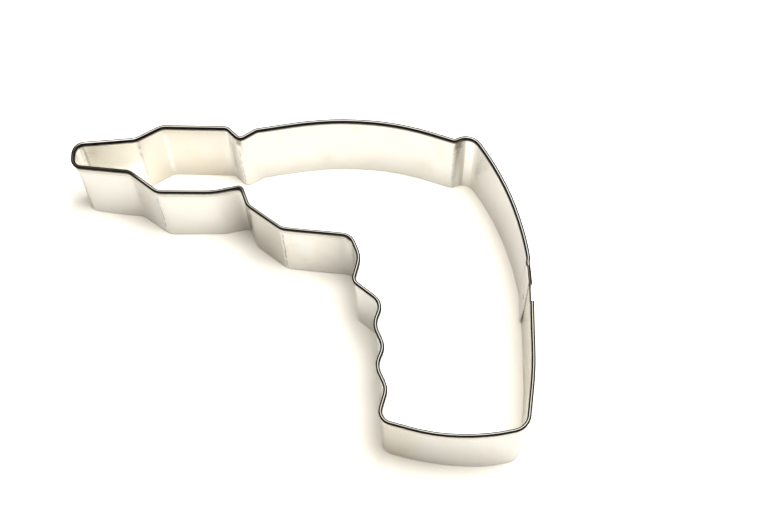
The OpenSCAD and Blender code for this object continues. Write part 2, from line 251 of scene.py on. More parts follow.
class CutterWeldSettings(PropertyGroup):
    """Sizes of the two spot welds"""

    radius: size("Radius", 1.05 * MM, "Radius of the button of a weld")
    dent: size("Dent", 0.05 * MM, "Depth of the dent that the tips leave on each side")
    dent_radius: size("Dent radius", 1.5 * MM, "Distance at which the dent runs out")
    dish: size("Dish", 0.02 * MM, "Hollow in the middle of a button")
    low_height: size("Lower weld", 10.8 * MM, "Height of the lower weld above the cutting edge")
    high_height: size("Upper weld", 15.5 * MM, "Height of the upper weld above the cutting edge")
    steps: IntProperty(name="Steps", description="Faces round a button", default=40, min=12)


class CutterFinishSettings(PropertyGroup):
    """Colours and polish of the sheet and the welds"""

    tin: tint("Tin", (0.7, 0.694, 0.668), "Colour of clean tin plate")
    # Colour of the stains, also used as painted shade on some walls.
    stain_and_shade_tint: tint("Stain", (0.65, 0.6, 0.5), "Colour of the faint stains on it")
    # Painted shade: colour of the tin in shade, on the flap and on walls that mirror shaded paper.
    shade_tin: tint("Dull tin", (0.5, 0.475, 0.415), "Colour of the tin that the rollers dulled on the flap")
    steel: tint("Steel", (0.34, 0.295, 0.235), "Colour of bare steel on edges and creases")
    # Painted highlight: colour of the bright streaks along bends and of the patches of painted light.
    highlight_tint: tint("Burnished tin", (1, 0.985, 0.94), "Colour of the tin that a bend has burnished")
    # Painted dark reflections and shade: colour of the rim's shoulders, its crushed end and its darkened
    # stretches.
    painted_shade: tint("Crazed tin", (0.025, 0.021, 0.017), "Colour of the crazed tin on the shoulders of the rim")
    weld: tint("Weld", (0.5, 0.47, 0.41), "Colour of the welds")
    cloudy: share("Clouds", 0.5, "How strongly the faint clouds of stain show")
    mottled: share("Mottle", 0.2, "How strongly the mottle shows")
    bared: share("Bare edges", 0.75, "How much of the steel shows on the sheared edges")
    scorched: share("Scorch", 0.7, "How strongly the scorched spots of the welds show")
    # Share of that painted shade which is matte, so that it shows no glints.
    matte_shade: share("Crust", 0.5, "Share of the crazed tin that is a matte crust")
    polish: share("Roughness", 0.2, "Roughness of clean tin plate")
    rim_polish: share("Rim roughness", 0.07, "Roughness of the rim, which hands have polished")
    weld_polish: share("Weld roughness", 0.25, "Roughness of the smoothest spots of the welds")
    cloud_roughness: share("Cloud roughness", 0.08, "Roughness that the clouds of stain add")
    rolling_roughness: share("Rolling roughness", 0.1, "How far the rolling marks change the roughness")
    steel_roughness: share("Steel roughness", 0.25, "Roughness that bare steel adds")
    grain_roughness: share("Grain roughness", 0.25, "Roughness that the grain of the welds adds")
    relief: size("Relief", 0.004 * MM, "Height of the rolling marks and the mottle")
    weld_relief: size("Weld relief", 0.01 * MM, "Height of the grain of the welds")


class CutterStageSettings(PropertyGroup):
    """Paper, lights and camera"""

    paper: tint("Paper", (0.93, 0.9, 0.84), "Colour of the paper under the cutter")
    paper_size: size("Paper size", 1.1, "Length of each side of the paper")
    paper_shade: share("Paper shade", 0.985, "Brightness of the darker fibres of the paper")
    paper_gain: share("Paper gain", 0.8, "Share that the paper adds to its own light where it is seen")
    mirror_gain: share("Mirror gain", 0.46, "The same share where the metal mirrors the paper")
    haze_start: size("Haze start", 0.15, "Distance at which the paper starts to fade to white")
    haze_end: size("Haze end", 0.5, "Distance at which the paper has faded to white")
    warm: tint("Warm light", (1, 0.92, 0.74), "Colour of the light that falls on the paper from all round")
    fill: share("Fill", 0.135, "Strength of the light from all round")
    key_power: power("Key", 3.35, "Power of the soft box")
    key_width: size("Soft box width", 0.3, "Width of the soft box from left to right")
    key_depth: size("Soft box depth", 0.27, "Depth of the soft box from front to back")
    key_place: spot("Soft box", (0.153, 0.031, 0.6), "Place of the soft box")
    box_glow: glow("Box glow", 6.1, "Strength of the soft box that the metal throws on the paper")
    box_inner: angle("Box", 10, "Half angle of the bright part of that soft box")
    box_outer: angle("Box edge", 30, "Half angle at which it has faded out")
    card_power: power("Card", 0.64, "Power of the fill card")
    card_size: size("Card size", 0.2, "Length of each side of the fill card")
    card_place: spot("Fill card", (-0.12, 0, 0.6), "Place of the fill card")
    tent: size("Tent radius", 0.45, "Radius of the dark tent that the metal mirrors")
    tent_cloth: tint("Tent cloth", (0.015, 0.014, 0.012), "Colour of the dark cloth")
    tent_window: tint("Tent window", (1, 0.99, 0.97), "Colour of the window in the tent")
    window_place: spot("Window", (0.05, 0.155, 0.5), "Direction of the window in the tent")
    window_inner: angle("Window", 33, "Half angle of the bright part of the window")
    window_outer: angle("Window edge", 43, "Half angle at which the window has faded out")
    window_glow: glow("Window glow", 1.6, "Strength of the window")
    side_place: spot("Side", (0.7, 0.7, 0), "Direction of the glow at the side of the tent")
    side_start: share("Side start", 0.1, "How far the tent faces that way where the glow starts")
    side_end: share("Side end", 0.55, "How far it faces that way where the glow is full")
    side_glow: share("Side glow", 0.17, "Strength of that glow")
    lens: FloatProperty(name="Lens", description="Focal length", default=75.79, unit="CAMERA")
    pitch: angle("Pitch", 66.924, "Tilt below the horizon")
    yaw: angle("Yaw", 1.9, "Turn to the left")
    roll: angle("Roll", -1.5, "Turn about the line of sight")
    camera_place: spot("Camera", (0.02355, -0.13764, 0.35804), "Place of the camera")
    camera_clip: size("Clip start", 0.01, "Distance from which the camera sees")


def smooth(t):
    t = max(0.0, min(1.0, t))
    return t * t * (3 - 2 * t)


def corner_turn(before, here, after):
    """The angle by which a line turns to the left at a point, seen from above."""
    a, b = here - before, after - here
    return math.atan2(a.x * b.y - a.y * b.x, a.x * b.x + a.y * b.y)


def area_inside(points):
    return sum(a.x * b.y - b.x * a.y for a, b in zip(points, points[1:] + points[:1])) / 2


def underside_ring(node):
    """The ordered corners of the strip's underside, from a merged copy of its mesh."""
    bm = bmesh.new()
    bm.from_mesh(node.data)
    bmesh.ops.remove_doubles(bm, verts=bm.verts, dist=MERGE_DISTANCE)
    raised = [f for f in bm.faces if max(v.co.z for v in f.verts) > MERGE_DISTANCE]
    bmesh.ops.delete(bm, geom=raised, context="FACES")
    edge = next(e for e in bm.edges if e.is_boundary)
    ring = [edge.verts[0]]
    while True:
        here = edge.other_vert(ring[-1])
        if here is ring[0]:
            break
        ring.append(here)
        edge = next(e for e in here.link_edges if e.is_boundary and e is not edge)
    points = [v.co.copy() for v in ring]
    bm.free()
    return points


def inner_line(node):
    """The strip's inner edge, clockwise from its outer end to its inner end, and the sheet's thickness."""
    ring = underside_ring(node)
    n = len(ring)
    square = [i for i in range(n)
              if abs(corner_turn(ring[i - 1], ring[i], ring[(i + 1) % n])) > SQUARE_TURN]
    if len(square) != 4:
        raise RuntimeError(f"the underside of the strip has {len(square)} square corners, and not 4")
    first, last = max(zip(square, square[1:] + square[:1]), key=lambda pair: (pair[1] - pair[0]) % n)
    ring = ring[first:] + ring[:first]
    count = (last - first) % n + 1
    sides = ring[:count], ring[count:]
    thickness = (sides[0][-1] - sides[1][0]).length
    line = min(sides, key=lambda side: abs(area_inside(side)))
    if area_inside(line) > 0:
        line.reverse()
    return line, thickness


def station(line, distance):
    """A point at a distance along a line, and the outward direction there."""
    for a, b in zip(line, line[1:]):
        run = (b - a).length
        if distance <= run:
            return a.lerp(b, distance / run), UP.cross((b - a) / run)
        distance -= run
    raise RuntimeError("the station lies past the end of the line")


def steps(start, end, step):
    """Even values from just after start up to end, at most a step apart."""
    n = math.ceil((end - start) / step)
    return [start + (end - start) * i / n for i in range(1, n + 1)]


def piece(bm, name, body, *nodes):
    """A finished piece of the object from a bmesh, which stands for the CAD nodes named."""
    for face in bm.faces:
        face.smooth = True
    mesh = bpy.data.meshes.new(name)
    bm.to_mesh(mesh)
    bm.free()
    mesh.set_sharp_from_angle(angle=SHARP_ANGLE)
    made = bpy.data.objects.new(name, mesh)
    bpy.context.scene.collection.objects.link(made)
    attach(made, body)
    if nodes:
        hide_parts(*nodes)
    return made


class Strip:
    """The strip as one sheet of faces, whose layers carry its own directions."""

    def __init__(self, line, thickness, sizes, weld):
        self.thickness, self.sizes, self.weld = thickness, sizes, weld
        self.start = line[0]
        self.bm = bmesh.new()
        self.lay_wire(line)
        self.carry_directions()
        self.find_marks()

    def wire_in_order(self):
        """The verts of the wire, from the strip's outer end to its inner end."""
        ends = [v for v in self.bm.verts if len(v.link_edges) == 1]
        row = [min(ends, key=lambda v: (v.co - self.start).length)]
        edge = row[0].link_edges[0]
        while True:
            row.append(edge.other_vert(row[-1]))
            if len(row[-1].link_edges) == 1:
                return row
            edge = next(e for e in row[-1].link_edges if e is not edge)

    def lay_wire(self, line):
        """Cuts the long stretches of the line and rounds what is left of its corners."""
        bm, sizes = self.bm, self.sizes
        verts = [bm.verts.new(p) for p in line]
        for a, b in zip(verts, verts[1:]):
            bm.edges.new((a, b))
        reach = sizes.bare_end + sizes.joggle
        for edge in list(bm.edges):
            middle = (edge.verts[0].co + edge.verts[1].co) / 2
            near = min((middle - p).length for p in (line[0], line[-1])) < reach
            cuts = math.ceil(edge.calc_length() / (sizes.seam_step if near else sizes.column_step)) - 1
            if cuts > 0:
                bmesh.ops.subdivide_edges(bm, edges=[edge], cuts=cuts)
        row = self.wire_in_order()
        bent = [b for a, b, c in zip(row, row[1:], row[2:])
                if abs(corner_turn(a.co, b.co, c.co)) > BENT_TURN]
        bmesh.ops.bevel(
            bm, geom=bent, offset=ROUNDED_PERCENT, offset_type="PERCENT", segments=1, profile=0.5,
            affect="VERTICES", material=-1,
        )

    def carry_directions(self):
        """Gives every vert its foot, its outward direction, its distance along and its rise of 0."""
        layers = self.bm.verts.layers
        self.foot = layers.float_vector.new("foot")
        self.outward = layers.float_vector.new("outward")
        self.along = layers.float.new("along")
        self.rise = layers.float.new("rise")
        row = self.wire_in_order()
        distance = 0.0
        for before, vert, after in zip(row[:1] + row, row, row[1:] + row[-1:]):
            vert[self.foot] = vert.co
            vert[self.outward] = UP.cross((after.co - before.co).normalized())
            distance += (vert.co - before.co).length
            vert[self.along] = distance
        self.total = distance

    def find_marks(self):
        """Finds how far along the strip the painted marks of each table lie."""
        self.crease_lines = [self.along_at(crease[0]) for crease in CREASES]
        self.bend_highlight_lines = [self.along_at(bend_highlight[0]) for bend_highlight in BEND_HIGHLIGHTS]
        self.highlight_patch_lines = [self.along_at(highlight_patch[0]) for highlight_patch in HIGHLIGHT_PATCHES]
        self.wall_shade_ends = self.ends_of(WALL_SHADE)
        self.stain_and_shade_ends = self.ends_of(STAIN_AND_SHADE)
        self.rim_shade_ends = self.ends_of(RIM_SHADE_STRETCHES)

    def along_at(self, place):
        """The distance along the strip of the point of its foot that is nearest to a place."""
        foot = min(self.bm.verts, key=lambda v: (v.co - Vector((*place, 0))).length)
        return foot[self.along]

    def ends_of(self, table):
        """How far along the strip each stretch of a table starts and ends."""
        return [sorted((self.along_at(first), self.along_at(last))) for first, last, _ in table]

    def rows(self):
        """Each row as its distance outward with the flap shut, the same with it open, and its height.

        Notes which row is the last of the wall, and which is the last of the fold. The fold's first
        row lies on the wall's last one.
        """
        sizes, weld = self.sizes, self.weld
        inner, outer = sizes.inner_radius, sizes.outer_radius
        tab_top = sizes.height - inner
        lowest, highest = weld.low_height - 2 * weld.dent_radius, weld.high_height + 2 * weld.dent_radius
        heights = [0.0]
        heights += steps(0, lowest, sizes.row_step)
        heights += steps(lowest, highest, sizes.weld_row_step)
        heights += steps(highest, tab_top, sizes.row_step)
        rows = [(0.0, 0.0, z) for z in heights]
        for i in range(sizes.fold_steps + 1):
            a = math.pi * i / sizes.fold_steps
            r = inner if a < math.pi / 2 else outer
            out = inner - r * math.cos(a)
            rows.append((out, out, sizes.height - r + r * math.sin(a)))
        width = inner + outer
        shut = 2 * self.thickness + sizes.flap_gap
        flap_top, flap_low = sizes.height - outer, sizes.height - sizes.flap_depth
        for t in steps(0, 1, 1 / sizes.flap_steps):
            out = width + (shut - width) * smooth(t / sizes.pinch_share)
            rows.append((out, width, flap_top + (flap_low - flap_top) * t))
        self.tab_row = len(heights) - 1
        self.fold_row = self.tab_row + sizes.fold_steps + 1
        return rows

    def openness(self, along):
        """How far the flap stands open there, from 0, shut, to 1."""
        opened = self.total - self.sizes.lap - self.sizes.joggle
        return smooth((along - opened) / self.sizes.flap_opening + 1)

    def raise_sheet(self):
        """Extrudes the wire row by row, up the wall, over the fold and down the flap."""
        rows = self.rows()
        edges = list(self.bm.edges)
        rise = 0.0
        last_out, _, last_height = rows[0]
        for number, (shut, opened, height) in enumerate(rows[1:], 1):
            made = bmesh.ops.extrude_edge_only(self.bm, edges=edges)["geom"]
            verts = {g for g in made if isinstance(g, bmesh.types.BMVert)}
            edges = [g for g in made if isinstance(g, bmesh.types.BMEdge) and verts.issuperset(g.verts)]
            rise += math.hypot(shut - last_out, height - last_height)
            last_out, last_height = shut, height
            for vert in verts:
                out = shut + (opened - shut) * self.openness(vert[self.along])
                vert.co = vert[self.foot] + vert[self.outward] * out + UP * height
                vert[self.rise] = rise
            if number == self.tab_row:
                self.tab_rise = rise
            if number == self.fold_row:
                self.fold_rise = rise
        self.flap_rise = rise

    def bare_the_outer_end(self):
        """Takes the rim off the end that slips under the other one."""
        spare = [f for f in self.bm.faces
                 if max(v[self.along] for v in f.verts) < self.sizes.bare_end
                 and max(v[self.rise] for v in f.verts) > self.tab_rise + MERGE_DISTANCE]
        bmesh.ops.delete(self.bm, geom=spare, context="FACES")

    def dent_at(self, along, height):
        """How far the tips have pushed the sheet outward there: fully up to half of the dent's radius."""
        weld, half_lap = self.weld, self.sizes.lap / 2
        depth = 0.0
        for centre, way in ((half_lap, -1), (self.total - half_lap, 1)):
            for weld_height in (weld.low_height, weld.high_height):
                reach = math.hypot(along - centre, height - weld_height) / weld.dent_radius
                depth += way * weld.dent * smooth(2 - 2 * reach)
        return depth

    def lean_at(self, place):
        """How far the foot of a wall has been knocked aside there."""
        shift = Vector((0, 0, 0))
        for foot, reach, push in LEANS:
            apart = (place.xy - Vector(foot)).length / reach
            shift += Vector((*push, 0)) * smooth(1 - apart) * (1 - place.z / self.sizes.height)
        return shift

    def add_relief(self):
        """Gives the sheet the waves, dents, bunches and leans of making and handling."""
        sizes = self.sizes
        for vert in self.bm.verts:
            out = sizes.wave * noise.noise(vert.co / sizes.wave_pitch)
            out += self.dent_at(vert[self.along], vert.co.z)
            near_end = 1 - (self.total - vert[self.along]) / sizes.lift_reach
            out -= sizes.lift * smooth(near_end) * smooth(1 - vert.co.z / sizes.lift_height)
            if vert[self.rise] > self.fold_rise:
                apart = min((vert.co.xy - Vector(bunch)).length for bunch in BUNCHES)
                out += sizes.bunch * smooth(1 - apart / sizes.bunch_reach)
            vert.co += vert[self.outward] * out + self.lean_at(vert.co)

    def give_thickness(self):
        """Makes the sheet solid, with its inner face on the outline and sharp sheared edges."""
        bm = self.bm
        bmesh.ops.recalc_face_normals(bm, faces=bm.faces)
        foot_face = next(f for f in bm.faces if min(v[self.rise] for v in f.verts) == 0)
        if foot_face.normal.dot(foot_face.verts[0][self.outward]) > 0:
            bmesh.ops.reverse_faces(bm, faces=bm.faces)
        bmesh.ops.solidify(bm, geom=bm.faces, thickness=self.thickness)

    def finish(self):
        """Clips the sheet to the frame's box, writes its UV map and drops the working layers."""
        bm = self.bm
        for vert in bm.verts:
            vert.co = Vector(max(low, min(high, c)) for low, c, high in zip(CAD_LOW, vert.co, CAD_HIGH))
        uv = bm.loops.layers.uv.new(SHEET_UV)
        for face in bm.faces:
            for loop in face.loops:
                loop[uv].uv = loop.vert[self.along], loop.vert[self.rise]
        layers = bm.verts.layers
        for kind, names in ((layers.float_vector, ("foot", "outward")), (layers.float, ("along", "rise"))):
            for name in names:
                kind.remove(kind[name])
        return bm


class Signal:
    """A socket in a node tree, on which arithmetic adds Math nodes."""

    def __init__(self, recipe, socket):
        self.recipe, self.socket = recipe, socket

    def math(self, operation, *values, clamp=False):
        """Runs one Math node on this signal and the values."""
        inputs = dict(enumerate((self, *values)))
        return self.recipe.add("ShaderNodeMath", {"operation": operation, "use_clamp": clamp}, inputs)

    def __add__(self, other):
        return self.math("ADD", other)

    __radd__ = __add__

    def __sub__(self, other):
        return self.math("SUBTRACT", other)

    def __rsub__(self, other):
        return self.math("MULTIPLY", -1.0) + other

    def __mul__(self, other):
        return self.math("MULTIPLY", other)

    __rmul__ = __mul__

    def __abs__(self):
        return self.math("ABSOLUTE")

    def vector_math(self, operation, *values, output=0):
        inputs = dict(enumerate((self, *values)))
        return self.recipe.add("ShaderNodeVectorMath", {"operation": operation}, inputs, output)

    def ramp(self, low, high):
        """0 up to low, 1 from high on, and smooth between them."""
        settings = {"interpolation_type": "SMOOTHSTEP"}
        return self.recipe.add("ShaderNodeMapRange", settings, {0: self, 1: low, 2: high})


class Recipe:
    """Builds the nodes of one material or world."""

    def __init__(self, owner):
        owner.use_nodes = True
        self.tree = owner.node_tree
        self.tree.nodes.clear()

    def add(self, kind, settings=None, inputs=None, output=0):
        """Adds a node, sets it, fills or links its sockets and returns one of its outputs."""
        node = self.tree.nodes.new(kind)
        for name, value in (settings or {}).items():
            setattr(node, name, value)
        for key, value in (inputs or {}).items():
            if isinstance(value, Signal):
                self.tree.links.new(value.socket, node.inputs[key])
            else:
                node.inputs[key].default_value = value
        return Signal(self, node.outputs[output]) if node.outputs else None

    def mix(self, factor, a, b):
        """A colour between two others, which are the node's sockets 6 and 7."""
        rgba = [c if isinstance(c, Signal) else opaque(c) for c in (a, b)]
        return self.add("ShaderNodeMix", {"data_type": "RGBA"}, {0: factor, 6: rgba[0], 7: rgba[1]}, 2)

    def place(self, scale):
        """Object coordinates, stretched by a scale on each axis."""
        return self.add("ShaderNodeMapping", None, {"Vector": self.here(), "Scale": scale})

    def sheet_place(self, scale):
        """Distance along the strip and up it, stretched by a scale on each."""
        here = self.add("ShaderNodeUVMap", {"uv_map": SHEET_UV})
        return self.add("ShaderNodeMapping", None, {"Vector": here, "Scale": (*scale, 1)})

    def parts(self, vector):
        """The three numbers of a vector."""
        first = self.add("ShaderNodeSeparateXYZ", None, {0: vector})
        return [Signal(self, socket) for socket in first.socket.node.outputs]

    def noise(self, vector, detail=3.0, roughness=0.55):
        return self.add("ShaderNodeTexNoise", None, {
            "Vector": vector, "Scale": 1.0, "Detail": detail, "Roughness": roughness,
        })

    def camera_ray(self):
        """1 on what the camera sees directly, and not in a mirror."""
        return self.add("ShaderNodeLightPath", output="Is Camera Ray")

    def seen(self):
        """1 for rays from the camera and for mirrored and transmitted ones."""
        mirrored = self.add("ShaderNodeLightPath", output="Is Glossy Ray")
        passed = self.add("ShaderNodeLightPath", output="Is Transmission Ray")
        return self.camera_ray().math("MAXIMUM", mirrored).math("MAXIMUM", passed)

    def here(self):
        """The place on the object."""
        return self.add("ShaderNodeTexCoord", output="Object")

    def matte(self, color):
        """A surface without any gloss."""
        return self.add("ShaderNodeBsdfPrincipled", None, {
            "Base Color": color, "Roughness": 1.0, "Specular IOR Level": 0.0,
        })

    def metal(self, color, roughness, height, depth):
        """A metal of a colour and roughness, with relief."""
        normal = self.add("ShaderNodeBump", None, {"Height": height, "Distance": depth, "Strength": 1.0})
        return self.add("ShaderNodeBsdfPrincipled", None, {
            "Base Color": color, "Metallic": 1.0, "Roughness": roughness, "Normal": normal,
        })

    def glowing(self, color):
        """A surface that only gives light."""
        return self.add("ShaderNodeEmission", None, {"Color": color})

    def both(self, a, b):
        """Two shaders added up."""
        return self.add("ShaderNodeAddShader", None, {0: a, 1: b})

    def either(self, factor, a, b):
        """A shader between two others."""
        return self.add("ShaderNodeMixShader", None, {0: factor, 1: a, 2: b})

    def show(self, shader):
        """Closes the material with a shader."""
        self.add("ShaderNodeOutputMaterial", None, {"Surface": shader})


def new_material(name):
    material = bpy.data.materials.new(name)
    return material, Recipe(material)


def opaque(color):
    """A colour with its fourth value, which a shader's socket takes."""
    return (*color, 1.0)


def uneven(mask, pattern, least, most):
    """A mask at between its least and its most, as a pattern goes."""
    return mask * (pattern * (most - least) + least)


class SheetMasks:
    """Where the sheet has its bands, stretches and marks, each as a signal from 0 to 1."""

    def __init__(self, recipe, strip):
        self.recipe, self.strip = recipe, strip
        self.along, self.rise, _ = recipe.parts(recipe.sheet_place((1, 1)))
        self.top = strip.tab_rise + math.pi / 2 * strip.sizes.inner_radius

    def past(self, line, fade):
        """Where a fade starts and ends, from its millimetres past a line."""
        return [line + distance * MM for distance in fade]

    def past_top(self, fade):
        """Where a fade starts and ends, from its radii past the top of the rim."""
        sizes = self.strip.sizes
        return [self.top + r * (sizes.inner_radius if r < 0 else sizes.outer_radius) for r in fade]

    def band(self, start, end):
        """A band up the sheet between two fades."""
        return self.rise.ramp(*start) * (1 - self.rise.ramp(*end))

    def stretches(self, ends, table, edge):
        """The stretches of a table, at their strengths."""
        along, stretches = self.along, 0.0
        for (low, high), (_, _, strength) in zip(ends, table):
            stretch = along.ramp(low - edge, low + edge) * (1 - along.ramp(high - edge, high + edge))
            stretches = stretch * strength + stretches
        return stretches

    def marks(self, lines, table):
        """The marks of a table, which run up the wall as broken and slightly wavy lines."""
        recipe = self.recipe
        waver = (recipe.noise(recipe.sheet_place(WAVER)) - 0.5) * MARK_WAVER
        dashes = recipe.noise(recipe.sheet_place(DASHES), detail=2).ramp(*DASH_FADE)
        marks = 0.0
        for line, (_, low, high, half_width, strength) in zip(lines, table):
            mark = 1 - abs(self.along - line + waver).ramp(*(half_width * side for side in MARK_SIDES))
            reach = self.band((low, low + MARK_FADE), (high - MARK_FADE, high))
            marks = mark * reach * dashes * strength + marks
        return marks

    def highlight_patches(self):
        """The stretches of bright wall, which are painted light."""
        highlight_patches = 0.0
        for line, (_, reach, strength) in zip(self.strip.highlight_patch_lines, HIGHLIGHT_PATCHES):
            highlight_patch = 1 - abs(self.along - line).ramp(HIGHLIGHT_PATCH_FADE * reach, reach)
            highlight_patches = highlight_patch * strength + highlight_patches
        return highlight_patches

    def rim(self):
        """The whole of the fold."""
        strip = self.strip
        return self.band(self.past(strip.tab_rise, RIM_START), self.past(strip.fold_rise, RIM_END))

    def flap(self):
        """The flap, but for its edge."""
        strip = self.strip
        return self.band(self.past(strip.fold_rise, FLAP_START), self.past(strip.flap_rise, FLAP_END))

    def bare(self):
        """The two sheared edges."""
        cutting = 1 - self.rise.ramp(*self.past(0, CUTTING_EDGE))
        return cutting + self.rise.ramp(*self.past(self.strip.flap_rise, FLAP_EDGE))

    def painted_shade(self, mottle):
        """Painted shade: dark bands of painted reflection on both shoulders of the rim, in its crushed end
        and on stretches of the rim painted dark all over.
        """
        strip, sizes = self.strip, self.strip.sizes
        foot, end = strip.tab_rise, strip.fold_rise
        pocket_shade = self.along.ramp(strip.total - sizes.pocket_shade, strip.total - POCKET_SHADE_FADE * sizes.pocket_shade)
        tab = 1 - self.along.ramp(TAB_FADE * sizes.bare_end, sizes.bare_end)
        tab_band = tab * self.rise.ramp(*self.past(foot, TAB_BAND_START))
        inner = self.rise.ramp(*self.past(foot, INNER_BAND_START)).math("MAXIMUM", tab_band)
        inner *= (1 - self.rise.ramp(*self.past_top(INNER_BAND_END))) * (1 - pocket_shade)
        outer = self.band(self.past_top(OUTER_BAND_START), self.past(end, OUTER_BAND_END))
        # Painted shade in the crushed end of the rim.
        crushed = self.band(self.past_top(POCKET_SHADE_START), self.past_top(POCKET_SHADE_END))
        # Stretches of the rim painted dark all over, as painted shade.
        rim_shade = self.stretches(strip.rim_shade_ends, RIM_SHADE_STRETCHES, RIM_SHADE_EDGE) * self.rim()
        bands = inner + outer + pocket_shade * crushed + uneven(rim_shade, mottle, *RIM_SHADE_SHARE)
        return bands.math("MINIMUM", 1.0)


def tinplate(finish, strip):
    """Rolled tin plate with faint stains, creases and bare sheared edges, with painted shade on the rim,
    walls and flap and painted highlights along bends.
    """
    material, recipe = new_material("tinplate")
    masks = SheetMasks(recipe, strip)
    clouds = recipe.noise(recipe.place(CLOUDS), detail=4).ramp(*CLOUD_FADE)
    film = recipe.noise(recipe.place(FILM), detail=4).ramp(*FILM_FADE)
    mottle = recipe.noise(recipe.place(MOTTLE), detail=2)
    rolling = recipe.noise(recipe.sheet_place(ROLLING), detail=2)
    stain_and_shade = masks.stretches(strip.stain_and_shade_ends, STAIN_AND_SHADE, STAIN_AND_SHADE_EDGE)
    shaded = masks.stretches(strip.wall_shade_ends, WALL_SHADE, WALL_SHADE_EDGE)
    painted_highlights = (masks.marks(strip.bend_highlight_lines, BEND_HIGHLIGHTS) + masks.highlight_patches()).math("MINIMUM", 1.0)
    creases = masks.marks(strip.crease_lines, CREASES)
    painted_shade, bare = masks.painted_shade(mottle), masks.bare()

    color = recipe.mix(clouds * finish.cloudy + (mottle - 0.5) * finish.mottled, finish.tin, finish.stain_and_shade_tint)
    # Stains, and painted shade on walls that mirror shaded paper.
    color = recipe.mix(uneven(stain_and_shade, film, *STAIN_AND_SHADE_SHARE), color, finish.stain_and_shade_tint)
    # Painted shade on walls that mirror shaded paper.
    color = recipe.mix(uneven(shaded, mottle, *WALL_SHADE_SHARE), color, finish.shade_tin)
    # Painted highlights along bends and painted light on bright patches.
    color = recipe.mix(painted_highlights, color, finish.highlight_tint)
    # Painted shade on the flap, which mirrors the shaded paper at the foot of the wall.
    color = recipe.mix(uneven(masks.flap(), mottle, *FLAP_SHARE), color, finish.shade_tin)
    # Painted dark reflections and shade on the rim.
    color = recipe.mix(painted_shade, color, finish.painted_shade)
    color = recipe.mix((bare * finish.bared + creases).math("MINIMUM", 1.0), color, finish.steel)

    roughness = clouds * finish.cloud_roughness + (rolling - 0.5) * finish.rolling_roughness
    roughness += (bare + creases) * finish.steel_roughness + finish.polish
    roughness -= masks.rim() * (finish.polish - finish.rim_polish)
    plate = recipe.metal(color, roughness, rolling * 0.5 + mottle * 0.5, finish.relief)
    # The matte share of the painted shade, which mirrors nothing.
    matte_shade = recipe.matte(opaque(finish.painted_shade))
    recipe.show(recipe.either(painted_shade * finish.matte_shade, plate, matte_shade))
    return material


def weld_metal(finish):
    """Dull metal, grainy and scorched by the welding tips."""
    material, recipe = new_material("weld_metal")
    grain = recipe.noise(recipe.place(GRAIN), detail=3)
    scorch = recipe.noise(recipe.place(SCORCH), detail=2).ramp(*SCORCH_FADE)
    color = recipe.mix(scorch * finish.scorched, finish.weld, finish.steel)
    roughness = grain * finish.grain_roughness + finish.weld_polish
    recipe.show(recipe.metal(color, roughness, grain, finish.weld_relief))
    return material


def paper_material(stage):
    """Pale paper that keeps shadows, looks white where it is seen or mirrored, and fades to white."""
    material, recipe = new_material("paper")
    fibre = recipe.noise(recipe.place(FIBRE), detail=4)
    color = recipe.mix(fibre, [c * stage.paper_shade for c in stage.paper], stage.paper)
    plain = recipe.matte(color)
    gain = recipe.camera_ray() * (stage.paper_gain - stage.mirror_gain) + stage.mirror_gain
    gained = recipe.matte(recipe.mix(gain, BLACK, color))
    far = recipe.here().vector_math("LENGTH", output="Value")
    haze = recipe.glowing(recipe.mix(far.ramp(stage.haze_start, stage.haze_end), BLACK, WHITE))
    shining = recipe.both(recipe.both(plain, gained), haze)
    recipe.show(recipe.either(recipe.seen(), plain, shining))
    return material


def tent_material(stage):
    """Dark cloth with a soft window overhead and a weaker glow at the back and the right.

    Where the paper is lit by way of the metal, the tent gives the soft box and the fill instead.
    """
    material, recipe = new_material("tent")
    way = recipe.here().vector_math("NORMALIZE")

    def facing(place):
        return way.vector_math("DOT_PRODUCT", tuple(place), output="Value")

    window = facing(Vector(stage.window_place).normalized())
    window = window.ramp(math.cos(stage.window_outer), math.cos(stage.window_inner))
    side = facing(stage.side_place).ramp(stage.side_start, stage.side_end)
    light = (window + side * (stage.side_glow / stage.window_glow)).math("MINIMUM", 1.0)
    color = recipe.mix(light, stage.tent_cloth, stage.tent_window)
    cloth = recipe.add("ShaderNodeEmission", None, {"Color": color, "Strength": stage.window_glow})

    box = facing(Vector(stage.key_place).normalized())
    box = box.ramp(math.cos(stage.box_outer), math.cos(stage.box_inner))
    dim, bright = ([c * strength for c in stage.warm] for strength in (stage.fill, stage.box_glow))
    lit = recipe.glowing(recipe.mix(box, dim, bright))
    from_paper = recipe.add("ShaderNodeLightPath", output="Diffuse Depth").math("MINIMUM", 1.0)
    recipe.show(recipe.either(from_paper, cloth, lit))
    return material


def stage_object(name, bm, material):
    mesh = bpy.data.meshes.new(name)
    bm.to_mesh(mesh)
    bm.free()
    made = bpy.data.objects.new(name, mesh)
    mesh.materials.append(material)
    bpy.context.scene.collection.objects.link(made)
    return made


def aimed(place, target):
    """A matrix that stands at a place and looks at a target."""
    return Matrix.Translation(place) @ (target - place).to_track_quat("-Z", "Y").to_matrix().to_4x4()


def button_section(weld, thickness, lap_gap):
    """A weld button's section through both layers: distances from its axis and along it."""
    outer = thickness - weld.dent
    inner = weld.dent - thickness - lap_gap
    half = [(r * weld.radius, outer + dishes * weld.dish) for r, dishes in BUTTON_HALF]
    return half + [(r, inner + outer - t) for r, t in reversed(half)]


